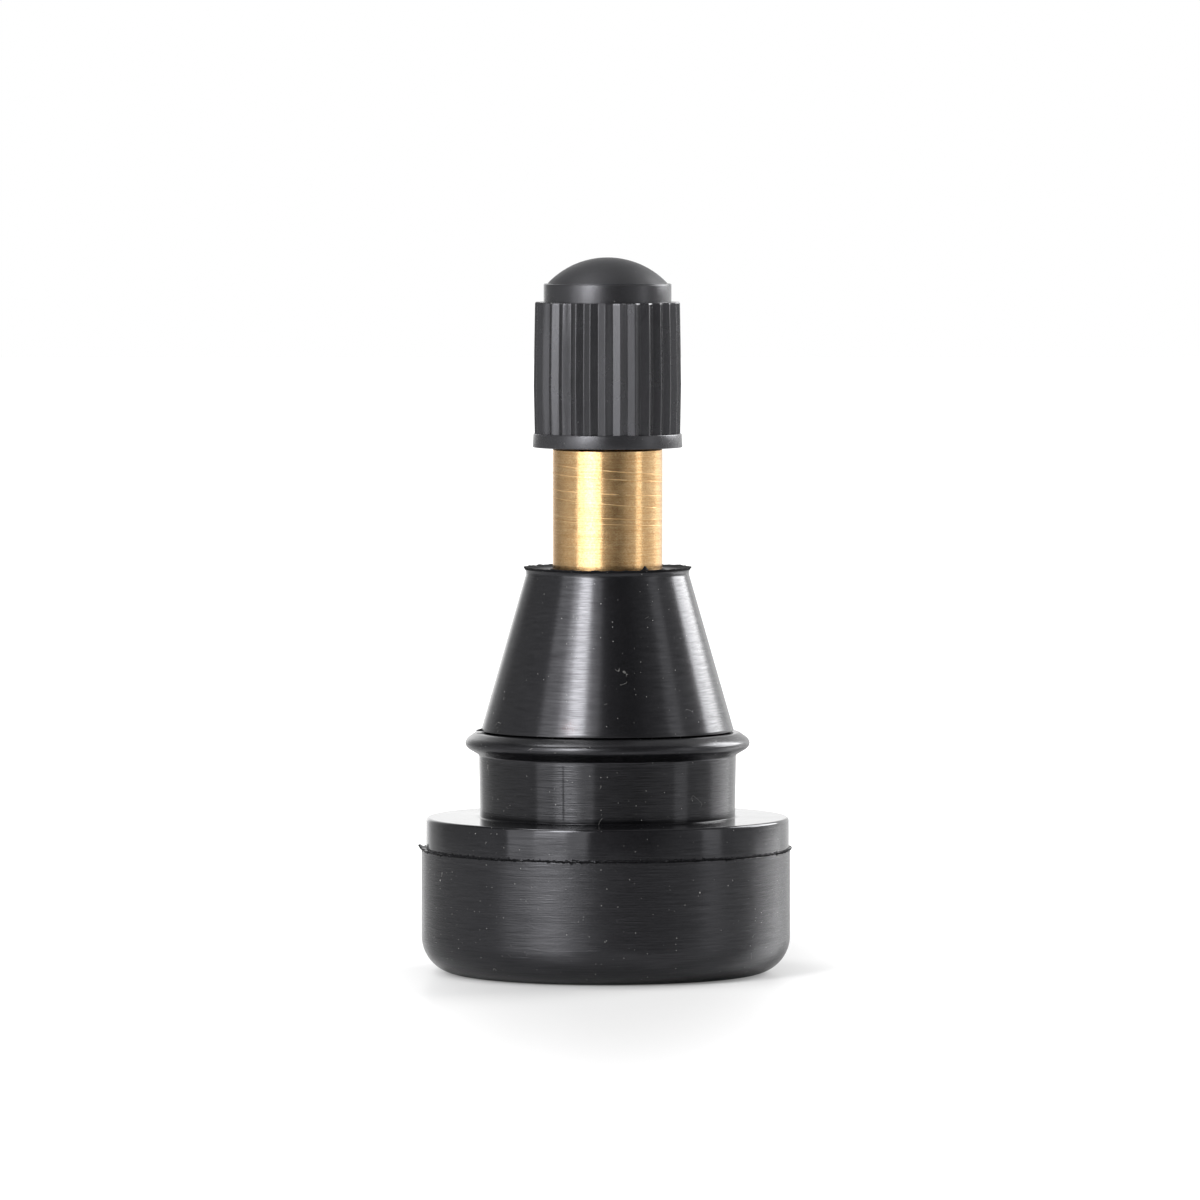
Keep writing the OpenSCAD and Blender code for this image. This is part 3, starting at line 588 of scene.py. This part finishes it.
ribs = bmesh.new()
valley, tip = at(rib_valley, -rib_pitch / 2), at(rib_tip, 0)
line = [(at(rib_tip, -rib_pitch) + valley) / 2, valley, tip, (tip + at(rib_valley, rib_pitch / 2)) / 2]
corners = [ribs.verts.new(p) for p in line]
for start, end in zip(corners, corners[1:]):
    ribs.edges.new((start, end))
for corner, radius in ((corners[1], 0.05), (corners[2], 0.06)):
    bmesh.ops.bevel(ribs, geom=[corner], offset=radius, segments=3, profile=0.5, affect="VERTICES",
                    material=-1)
bmesh.ops.scale(ribs, vec=(reach / drawn_reach, reach / drawn_reach, 1), verts=ribs.verts[:])
row = ribs.edges[:]
for next_reach, next_level in rows:
    drawn = bmesh.ops.extrude_edge_only(ribs, edges=row)["geom"]
    points = [g for g in drawn if isinstance(g, bmesh.types.BMVert)]
    row = [g for g in drawn if isinstance(g, bmesh.types.BMEdge)]
    bmesh.ops.scale(ribs, vec=(next_reach / reach, next_reach / reach, 1), verts=points)
    bmesh.ops.translate(ribs, vec=(0, 0, next_level - level), verts=points)
    reach, level = next_reach, next_level
bmesh.ops.spin(ribs, geom=ribs.verts[:] + ribs.edges[:] + ribs.faces[:], cent=(0, 0, 0), axis=(0, 0, 1),
               angle=rib_pitch * (rib_count - 1), steps=rib_count - 1, use_duplicate=True)
bmesh.ops.remove_doubles(ribs, verts=ribs.verts[:], dist=1e-3)
bmesh.ops.bridge_loops(ribs, edges=[e for e in ribs.edges if e.is_boundary])
joined(cap, ribs)
made(cap, "cap_piece", "dust_cap", plastic, 40)


# Floor
# A plain white table top with a faint sheen, most of it behind the valve.
# It takes the soft shadow and a painted shadow and reflection that run out to the front, and the camera sees
# the rest of it as white.
floor_half, floor_y = (1.2, 0.89, 1), 0.61
floor_shape = bmesh.new()
bmesh.ops.create_grid(floor_shape, x_segments=1, y_segments=1, size=1)
bmesh.ops.scale(floor_shape, vec=floor_half, verts=floor_shape.verts[:])
bmesh.ops.translate(floor_shape, vec=(0, floor_y, 0), verts=floor_shape.verts[:])
floor_mesh = bpy.data.meshes.new("floor")
floor_shape.to_mesh(floor_mesh)
floor_shape.free()
white, tree, shader, place = finish_of("white_table_top")
tree.nodes.remove(shader)
path = add(tree, "ShaderNodeLightPath")
# The camera's white is held back in a patch that is narrow across and long to the front: a painted shadow and
# reflection of the valve on the table top.
narrow = add(tree, "ShaderNodeMapping", in_0=place, in_3=(3.4, 0.55, 1))[0]
away = add(tree, "ShaderNodeVectorMath", {"operation": "LENGTH"}, in_0=narrow)["Value"]
glow_past_painted_shade = graded(tree, away, 15 * mm, 110 * mm, 0.16, 1.0, "SMOOTHSTEP")
matt = add(tree, "ShaderNodeBsdfDiffuse", in_0=linear("#c6c6c6"))[0]
sheen = add(tree, "ShaderNodeBsdfGlossy", in_0=linear("#ffffff"), in_1=0.22)[0]
# Seen flat along it, in the valve's sides, the table top mirrors the room.
grazing = add(tree, "ShaderNodeFresnel", in_0=1.5)[0]
mirrored = mixed(tree, path["Is Glossy Ray"], 0.1, grazing)
top = add(tree, "ShaderNodeMixShader", in_0=mirrored, in_1=matt, in_2=sheen)[0]
glow = add(tree, "ShaderNodeEmission", in_0=linear("#ffffff"), in_1=glow_past_painted_shade)[0]
lit = add(tree, "ShaderNodeAddShader", in_0=top, in_1=glow)[0]
shown = add(tree, "ShaderNodeMixShader", in_0=path["Is Camera Ray"], in_1=top, in_2=lit)[0]
coat(tree, tree.nodes["Material Output"], {"Surface": shown})
floor_mesh.materials.append(white)
floor = bpy.data.objects.new("floor", floor_mesh)
bpy.context.scene.collection.objects.link(floor)


# Camera
# A long lens a little above the valve, as the photograph was taken.
camera_x, camera_y, camera_z, aim_z = -0.00053, -0.75, 0.065, 0.0263
camera_data = bpy.data.cameras.new("camera")
camera_data.sensor_width = 36
camera_data.lens = 319.7
camera_data.clip_start, camera_data.clip_end = 0.05, 20
camera = bpy.data.objects.new("camera", camera_data)
camera.location = (camera_x, camera_y, camera_z)
aim = Vector((camera_x, 0, aim_z)) - camera.location
camera.rotation_euler = aim.to_track_quat("-Z", "Y").to_euler()
bpy.context.scene.collection.objects.link(camera)
bpy.context.scene.camera = camera


# Lights
# A large softbox to the left, brightest in its middle, a narrow one to the right, one overhead on the left
# and one behind on the right, in a pale room whose front is dark. Angles run from the camera to the right.
valve_middle = Vector((0, 0, 0.025))


def softbox(name, turn, rise, away, size, level):
    """A panel that faces the valve, as bright as level times white."""
    light = bpy.data.lights.new(name, "AREA")
    light.shape = "RECTANGLE"
    light.size, light.size_y = size
    light.energy = level * math.pi * size[0] * size[1]
    lamp = bpy.data.objects.new(name, light)
    side, up = math.radians(turn), math.radians(rise)
    lamp.location = valve_middle + away * Vector((math.cos(up) * math.sin(side),
                                                  -math.cos(up) * math.cos(side), math.sin(up)))
    lamp.rotation_euler = (valve_middle - lamp.location).to_track_quat("-Z", "Y").to_euler()
    bpy.context.scene.collection.objects.link(lamp)


softbox("key_hot", -31, 33, 0.5, (0.13, 0.22), 11)
softbox("key", -36, 21.5, 0.51, (0.2, 0.36), 4)
softbox("key_wide", -39, 17, 0.52, (0.54, 0.5), 1.7)
softbox("strip", 69, 10, 0.5, (0.12, 0.4), 0.9)
softbox("top", -98, 70, 0.6, (0.24, 0.2), 6)
softbox("right_back", 124, 26, 0.6, (0.36, 0.36), 8)

# The room's brightness round the horizon, in degrees from the camera: dark in front and on the left.
horizon = ((-180, 1.4), (-174, 1.45), (-167, 1.8), (-150, 0.65), (-125, 0.28), (-98, 0.46), (-80, 0.58),
           (-10, 0.26), (2, 0.2), (14, 0.12), (28, 0.11), (42, 0.34), (58, 0.52), (80, 0.62), (100, 0.65),
           (115, 0.85), (126, 1.5), (150, 1.3), (168, 1.0), (180, 1.4))
world = bpy.data.worlds.new("studio")
world.use_nodes = True
tree = world.node_tree
bpy.context.scene.world = world
path = add(tree, "ShaderNodeLightPath")
way = add(tree, "ShaderNodeSeparateXYZ", in_0=add(tree, "ShaderNodeTexCoord")["Generated"])
room = add(tree, "ShaderNodeValToRGB", in_0=graded(tree, bearing(tree, way), -math.pi, math.pi))[0]
spots = room.node.color_ramp.elements
while len(spots) < len(horizon):
    spots.new(0.5)
for spot, (degrees, bright) in zip(spots, horizon):
    spot.position = (degrees + 180) / 360
    spot.color = (bright, bright, bright, 1)
# Towards the ceiling the room is dimmer, and it lights dull surfaces evenly. The camera sees it white.
ceiling = graded(tree, way["Z"], 0.3, 0.7, 1.0, 0.35, "SMOOTHSTEP")
seen = calc(tree, "MULTIPLY", room, ceiling)
dim = mixed(tree, path["Is Glossy Ray"], 0.27, seen)
through = calc(tree, "MAXIMUM", path["Is Camera Ray"], path["Is Transmission Ray"])
coat(tree, tree.nodes["Background"], {"Color": linear("#ffffff"), "Strength": mixed(tree, through, dim, 1.0)})

bpy.context.scene.view_settings.view_transform = "Standard"
